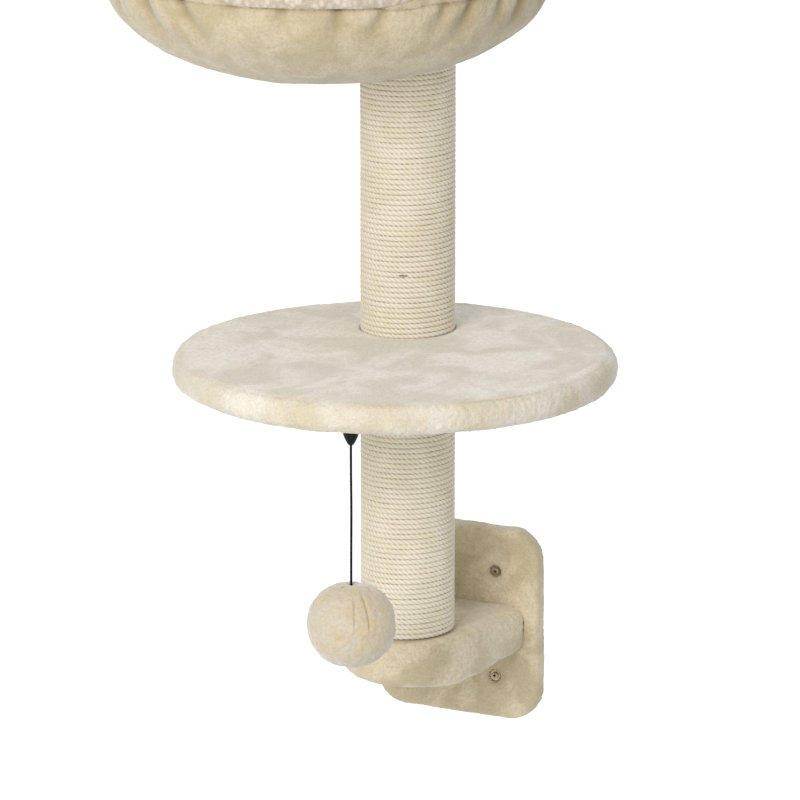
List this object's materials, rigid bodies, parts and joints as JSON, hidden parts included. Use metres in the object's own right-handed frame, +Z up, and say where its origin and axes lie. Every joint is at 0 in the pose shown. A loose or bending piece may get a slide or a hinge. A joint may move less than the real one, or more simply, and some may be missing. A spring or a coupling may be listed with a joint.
{
  "type": "wall mounted cat tree",
  "caption": "Wall mounted cat tree: plush wall bracket, two sisal posts, a round plush platform with a hanging ball, and a padded bowl bed on top.",
  "frame": {"origin": "centre of the wall plate's back face, on the wall", "axes": "+X to the right facing the wall, +Y into the wall, +Z up"},
  "size_m": [0.636, 0.6, 1.0677],
  "materials": {
    "bracket_plush": "short beige plush pile",
    "platform_plush": "short cream plush pile",
    "bowl_plush": "short beige plush pile, gathered",
    "ball_plush": "short cream plush pile, gathered",
    "lambswool": "curly off-white lambswool",
    "foam": "open cell foam",
    "board": "raw chipboard",
    "card": "wound card",
    "sisal": "natural sisal rope",
    "zinc_steel": "zinc plated",
    "dark_staple": "dark wire",
    "black_plastic": "satin moulded plastic",
    "black_cord": "round elastic cord"
  },
  "bodies": {
    "root": {"wall_plate_board": "board", "wall_plate_cover": "bracket_plush", "wall_screws": "zinc_steel", "wall_screw_washers": "zinc_steel", "shelf_block": "board", "shelf_cover": "bracket_plush", "plate_to_shelf_screws": "zinc_steel", "cover_staples": "dark_staple", "lower_post_tube": "card", "lower_post_bottom_plug": "board", "lower_post_top_plug": "board", "upper_post_tube": "card", "upper_post_bottom_plug": "board", "upper_post_top_plug": "board", "lower_post_rope": "sisal", "upper_post_rope": "sisal", "rope_staples": "dark_staple", "shelf_bolt_washer": "zinc_steel", "shelf_bolt": "zinc_steel", "platform_stud": "zinc_steel", "post_inserts": "zinc_steel", "platform_board": "board", "platform_foam": "foam", "platform_cover": "platform_plush", "bowl_base_board": "board", "bowl_foam": "foam", "bowl_belly_pad": "foam", "bowl_outer_cover": "bowl_plush", "bowl_lining": "lambswool", "bowl_rim_roll": "bowl_plush", "bowl_cushion": "lambswool", "bowl_bolt": "zinc_steel", "bowl_bolt_washer": "zinc_steel", "bowl_rim_wire": "zinc_steel", "toy_holder_cap": "black_plastic", "toy_holder_base": "black_plastic", "toy_holder_screw": "zinc_steel", "toy_cord_stop": "black_cord"},
    "toy_bend": {"toy_cord_bend": "black_cord"},
    "toy_line": {"toy_cord": "black_cord", "toy_cord_end_knot": "black_cord"},
    "toy_ball": {"toy_ball_filling": "foam", "toy_ball_cover": "ball_plush"}
  },
  "joints": [
    {"name": "toy_swing_side", "type": "hinge", "parent": "root", "child": "toy_bend", "pos_m": [0.0814, -0.5, 0.358], "axis": [0, 1, 0], "range_deg": [-50, 50]},
    {"name": "toy_swing_front", "type": "hinge", "parent": "toy_bend", "child": "toy_line", "pos_m": [0.0814, -0.5, 0.358], "axis": [1, 0, 0], "range_deg": [-50, 50]},
    {"name": "ball_spin", "type": "hinge", "parent": "toy_line", "child": "toy_ball", "pos_m": [0.0814, -0.5, 0.132], "axis": [0, 0, 1], "range_deg": [-180, 180]}
  ]
}
